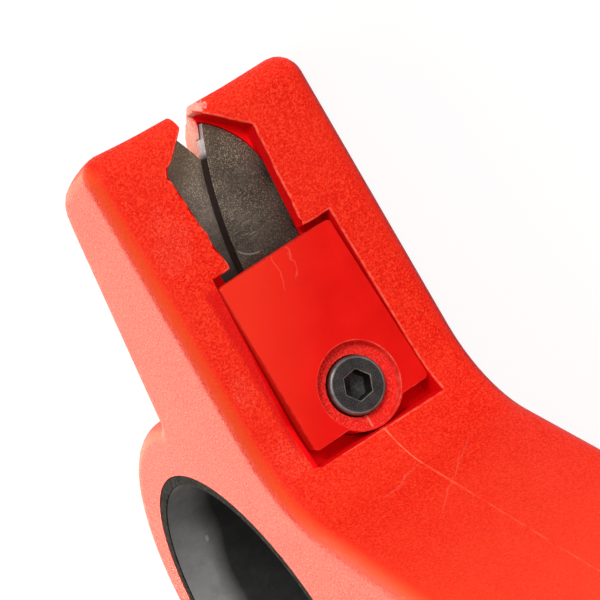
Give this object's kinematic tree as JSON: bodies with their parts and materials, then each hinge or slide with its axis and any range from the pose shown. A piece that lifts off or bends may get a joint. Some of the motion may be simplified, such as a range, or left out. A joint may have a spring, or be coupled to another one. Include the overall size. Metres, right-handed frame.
{
  "type": "pipe cutter",
  "caption": "Hand-held slitting cutter for thin-walled pipe: moulded body with a lined finger ring and handle, crossed blades in a forked head under a screwed clamp plate.",
  "frame": {"origin": "on the grip ring's axis, in the plane of the body's right side, on which the tool lies", "axes": "+X out of the head's front face and towards the handle's end, +Y up the head towards its slot, +Z through the body's thickness towards its left side"},
  "size_m": [0.1241, 0.0974, 0.0234],
  "materials": {
    "body": "spark-eroded red-orange moulding",
    "plate": "smooth glossy red moulding with worn edges",
    "liner": "black moulding with a grey rubbed rim",
    "blade": "dark hardened steel, specked, with a light ground edge",
    "steel": "bright ground steel",
    "screw": "black oxide",
    "insert": "turned brass"
  },
  "bodies": {
    "body": {"left_shell": "body", "right_shell": "body", "ring_liner": "liner", "front_blade": "blade", "rear_blade": "blade", "blade_dowel": "steel", "clamp_insert": "insert", "shell_screws": "screw"},
    "plate": {"clamp_plate": "plate"},
    "screw": {"clamp_screw": "screw"}
  },
  "joints": [
    {"name": "plate_lift", "type": "slide", "parent": "body", "child": "plate", "axis": [1, 0, 0], "range_m": [0, 0.002]},
    {"name": "screw_turn", "type": "hinge", "parent": "plate", "child": "screw", "pos_m": [0.0237, 0.019, 0.0112], "axis": [1, 0, 0], "range_deg": [0, 1440]}
  ],
  "couplings": [
    {"joint": "screw_turn", "follows": "plate_lift", "rad_per_m": 12566}
  ]
}
